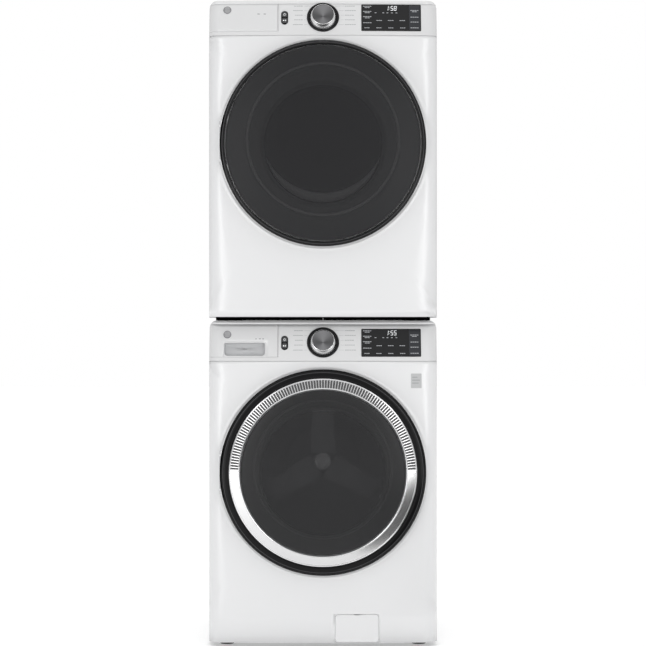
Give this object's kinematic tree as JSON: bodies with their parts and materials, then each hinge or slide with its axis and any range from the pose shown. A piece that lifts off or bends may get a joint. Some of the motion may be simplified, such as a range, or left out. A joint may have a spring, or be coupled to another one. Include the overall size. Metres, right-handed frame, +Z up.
{
  "type": "washer dryer stack",
  "caption": "Front-loading washer with a front-loading dryer stacked on top, round doors, a turning knob, push buttons and a detergent drawer.",
  "frame": {"origin": "on the floor under the middle of the stack", "axes": "+Z up, -Y out of the doors, +X to the right as seen from the front"},
  "size_m": [0.711, 0.813, 2.011],
  "materials": {
    "white_enamel": "gloss",
    "white_plastic": "gloss",
    "black_gloss": "gloss",
    "black_plastic": "matte",
    "silver_trim": "satin",
    "knob_metal": "brushed",
    "tinted_window": "gloss",
    "glass_bowl": "gloss",
    "stainless_steel": "brushed",
    "cast_aluminium": "matte",
    "grey_rubber": "matte",
    "black_rubber": "matte",
    "grey_plastic": "satin",
    "galvanised_steel": "satin"
  },
  "bodies": {
    "housing": {"washer_cabinet": "white_enamel", "washer_top_panel": "white_enamel", "washer_front_panel": "white_enamel", "dryer_cabinet": "white_enamel", "dryer_top_panel": "white_enamel", "dryer_front_panel": "white_enamel", "washer_console": "white_plastic", "dispenser_housing": "white_plastic", "washer_tub": "white_plastic", "dryer_console": "white_plastic", "dryer_console_filler": "white_plastic", "dryer_front_bulkhead": "white_plastic", "washer_display": "black_gloss", "washer_knob_bezel": "black_gloss", "washer_button_bezel": "black_gloss", "dryer_display": "black_gloss", "dryer_knob_bezel": "black_gloss", "dryer_button_bezel": "black_gloss", "washer_door_hinge": "black_plastic", "dryer_door_hinge": "black_plastic", "washer_door_lock": "black_plastic", "drain_pump": "black_plastic", "washer_motor_stator": "cast_aluminium", "washer_gasket": "grey_rubber", "dryer_belt": "black_rubber", "stacking_bracket_left": "black_rubber", "stacking_bracket_right": "black_rubber", "water_inlet_valve": "grey_plastic", "washer_base": "galvanised_steel", "dryer_base": "galvanised_steel", "dryer_motor": "galvanised_steel", "dryer_exhaust_duct": "galvanised_steel"},
    "washer_door": {"washer_door_ring": "black_gloss", "washer_door_trim": "silver_trim", "washer_door_lens": "tinted_window", "washer_door_liner": "grey_plastic", "washer_door_bowl": "glass_bowl"},
    "dryer_door": {"dryer_door_ring": "black_gloss", "dryer_door_lens": "tinted_window", "dryer_door_liner": "grey_plastic"},
    "washer_drum_assembly": {"washer_drum": "stainless_steel", "washer_drum_spider": "cast_aluminium", "washer_motor_rotor": "galvanised_steel"},
    "dryer_drum_assembly": {"dryer_drum": "stainless_steel"},
    "dryer_blower": {"dryer_blower_wheel": "black_plastic"},
    "washer_cycle_knob": {"washer_knob": "knob_metal"},
    "dryer_cycle_knob": {"dryer_knob": "knob_metal"},
    "washer_power": {"washer_power_button": "black_plastic"},
    "washer_start": {"washer_start_button": "black_plastic"},
    "dryer_power": {"dryer_power_button": "black_plastic"},
    "dryer_start": {"dryer_start_button": "black_plastic"},
    "detergent_drawer": {"detergent_drawer_front": "white_plastic", "detergent_drawer_tray": "grey_plastic"},
    "pump_door": {"pump_filter_door": "white_enamel"},
    "pump_cap": {"pump_filter_cap": "grey_plastic"},
    "lint_filter": {"dryer_lint_filter": "grey_plastic"},
    "levelling_foot_1": {"washer_foot_1": "black_rubber"},
    "levelling_foot_2": {"washer_foot_2": "black_rubber"},
    "levelling_foot_3": {"washer_foot_3": "black_rubber"},
    "levelling_foot_4": {"washer_foot_4": "black_rubber"}
  },
  "joints": [
    {"name": "washer_door_swing", "type": "hinge", "parent": "housing", "child": "washer_door", "pos_m": [-0.312, -0.364, 0.541], "axis": [0, 0, -1], "range_deg": [0, 110]},
    {"name": "dryer_door_swing", "type": "hinge", "parent": "housing", "child": "dryer_door", "pos_m": [-0.312, -0.364, 1.561], "axis": [0, 0, -1], "range_deg": [0, 110]},
    {"name": "washer_drum_spin", "type": "hinge", "parent": "housing", "child": "washer_drum_assembly", "pos_m": [0, 0, 0.541], "axis": [0, 1, 0], "continuous": true},
    {"name": "dryer_drum_spin", "type": "hinge", "parent": "housing", "child": "dryer_drum_assembly", "pos_m": [0, 0, 1.561], "axis": [0, 1, 0], "continuous": true},
    {"name": "dryer_blower_spin", "type": "hinge", "parent": "housing", "child": "dryer_blower", "pos_m": [-0.13, 0, 1.121], "axis": [0, 1, 0], "continuous": true},
    {"name": "washer_knob_turn", "type": "hinge", "parent": "housing", "child": "washer_cycle_knob", "pos_m": [0, -0.33514, 0.94332], "axis": [0, -0.9397, 0.342], "continuous": true},
    {"name": "dryer_knob_turn", "type": "hinge", "parent": "housing", "child": "dryer_cycle_knob", "pos_m": [0, -0.33514, 1.95432], "axis": [0, -0.9397, 0.342], "continuous": true},
    {"name": "washer_power_press", "type": "slide", "parent": "housing", "child": "washer_power", "axis": [0, 0.9397, -0.342], "range_m": [0, 0.0015], "stiffness_N_per_m": 400, "springref_m": -0.001},
    {"name": "washer_start_press", "type": "slide", "parent": "housing", "child": "washer_start", "axis": [0, 0.9397, -0.342], "range_m": [0, 0.0015], "stiffness_N_per_m": 400, "springref_m": -0.001},
    {"name": "dryer_power_press", "type": "slide", "parent": "housing", "child": "dryer_power", "axis": [0, 0.9397, -0.342], "range_m": [0, 0.0015], "stiffness_N_per_m": 400, "springref_m": -0.001},
    {"name": "dryer_start_press", "type": "slide", "parent": "housing", "child": "dryer_start", "axis": [0, 0.9397, -0.342], "range_m": [0, 0.0015], "stiffness_N_per_m": 400, "springref_m": -0.001},
    {"name": "detergent_drawer_slide", "type": "slide", "parent": "housing", "child": "detergent_drawer", "axis": [0, -1, 0], "range_m": [0, 0.24]},
    {"name": "pump_door_swing", "type": "hinge", "parent": "housing", "child": "pump_door", "pos_m": [0.105, -0.35, 0.02], "axis": [1, 0, 0], "range_deg": [0, 90]},
    {"name": "pump_cap_turn", "type": "hinge", "parent": "housing", "child": "pump_cap", "pos_m": [0.105, -0.33, 0.074], "axis": [0, -1, 0], "range_deg": [0, 360]},
    {"name": "lint_filter_lift", "type": "slide", "parent": "housing", "child": "lint_filter", "axis": [0, 0, 1], "range_m": [0, 0.18]},
    {"name": "levelling_foot_1_turn", "type": "hinge", "parent": "housing", "child": "levelling_foot_1", "pos_m": [-0.3, -0.27, 0.005], "axis": [0, 0, 1], "continuous": true},
    {"name": "levelling_foot_2_turn", "type": "hinge", "parent": "housing", "child": "levelling_foot_2", "pos_m": [0.3, -0.27, 0.005], "axis": [0, 0, 1], "continuous": true},
    {"name": "levelling_foot_3_turn", "type": "hinge", "parent": "housing", "child": "levelling_foot_3", "pos_m": [-0.3, 0.33, 0.005], "axis": [0, 0, 1], "continuous": true},
    {"name": "levelling_foot_4_turn", "type": "hinge", "parent": "housing", "child": "levelling_foot_4", "pos_m": [0.3, 0.33, 0.005], "axis": [0, 0, 1], "continuous": true}
  ],
  "couplings": [
    {"joint": "dryer_blower_spin", "follows": "dryer_drum_spin", "ratio": 27.083}
  ]
}
